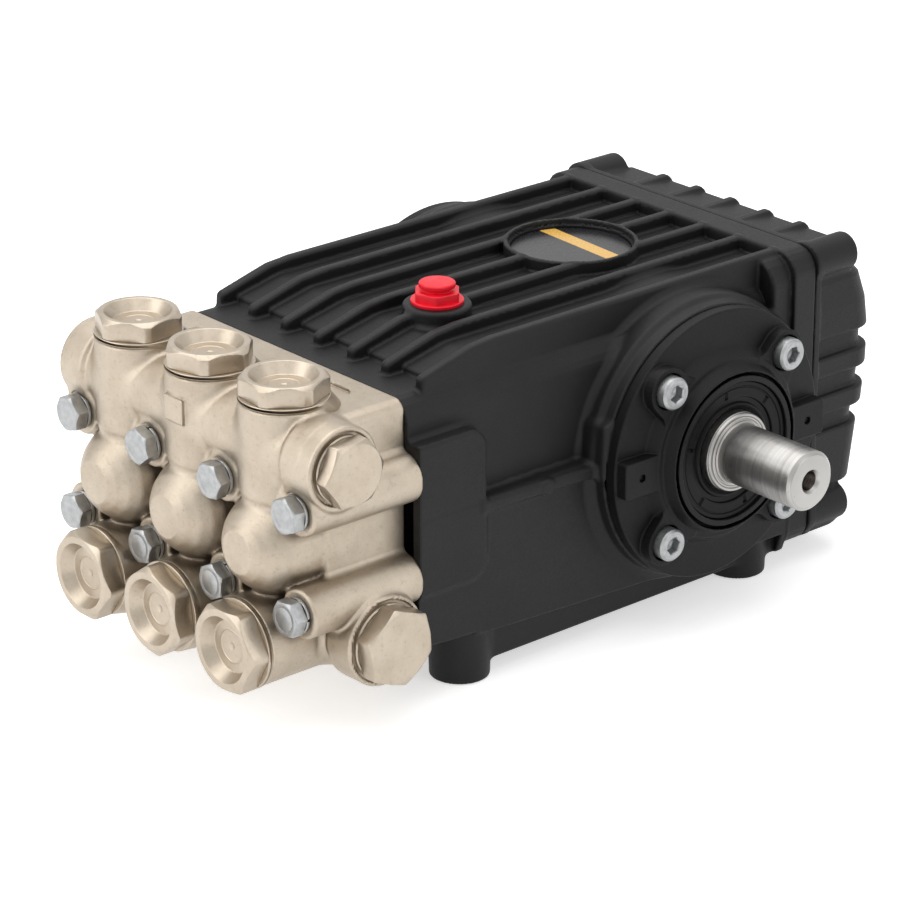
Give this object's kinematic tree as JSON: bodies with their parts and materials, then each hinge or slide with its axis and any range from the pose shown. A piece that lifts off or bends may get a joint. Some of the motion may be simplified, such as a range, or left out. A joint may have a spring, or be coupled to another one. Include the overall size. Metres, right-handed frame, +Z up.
{
  "type": "high-pressure pump",
  "caption": "Triplex plunger pump: finned black crankcase with a side drive shaft, bolted to a plated forged head with capped valves and threaded side ports.",
  "frame": {"origin": "centre of the four foot holes, in the plane of the feet's underside", "axes": "+X towards the drive shaft end, +Y from the forged head to the rear cover, +Z up"},
  "size_m": [0.2285, 0.317, 0.1432],
  "materials": {
    "black_casting": "matte black paint on a die casting",
    "nickel_plated_brass": "blasted, nickel plated forging",
    "zinc_steel": "bright zinc plating",
    "shaft_steel": "ground",
    "seal_rubber": "satin",
    "red_plastic": "smooth",
    "nameplate": "matte black foil with a blank gold band",
    "sight_glass": "clear"
  },
  "bodies": {
    "housing": {"crankcase": "black_casting", "drain_plug": "zinc_steel", "inlet_cap_1": "nickel_plated_brass", "inlet_cap_2": "nickel_plated_brass", "inlet_cap_3": "nickel_plated_brass", "inlet_plug": "nickel_plated_brass", "left_bearing_cover": "black_casting", "left_cover_screws": "zinc_steel", "lower_head_bolt_1": "zinc_steel", "lower_head_bolt_2": "zinc_steel", "lower_head_bolt_3": "zinc_steel", "lower_head_bolt_4": "zinc_steel", "manifold": "nickel_plated_brass", "nameplate": "nameplate", "oil_filler_cap": "red_plastic", "oil_seal": "seal_rubber", "outlet_cap_1": "nickel_plated_brass", "outlet_cap_2": "nickel_plated_brass", "outlet_cap_3": "nickel_plated_brass", "outlet_plug": "nickel_plated_brass", "rear_cover": "black_casting", "rear_cover_screws": "zinc_steel", "right_bearing_cover": "black_casting", "right_cover_screws": "zinc_steel", "sight_glass": "sight_glass", "spring_washers": "zinc_steel", "upper_head_bolt_1": "zinc_steel", "upper_head_bolt_2": "zinc_steel", "upper_head_bolt_3": "zinc_steel", "upper_head_bolt_4": "zinc_steel"},
    "shaft": {"drive_shaft": "shaft_steel"}
  },
  "joints": [
    {"name": "shaft_spin", "type": "hinge", "parent": "housing", "child": "shaft", "pos_m": [0, 0.0361, 0.0725], "axis": [1, 0, 0], "continuous": true}
  ]
}
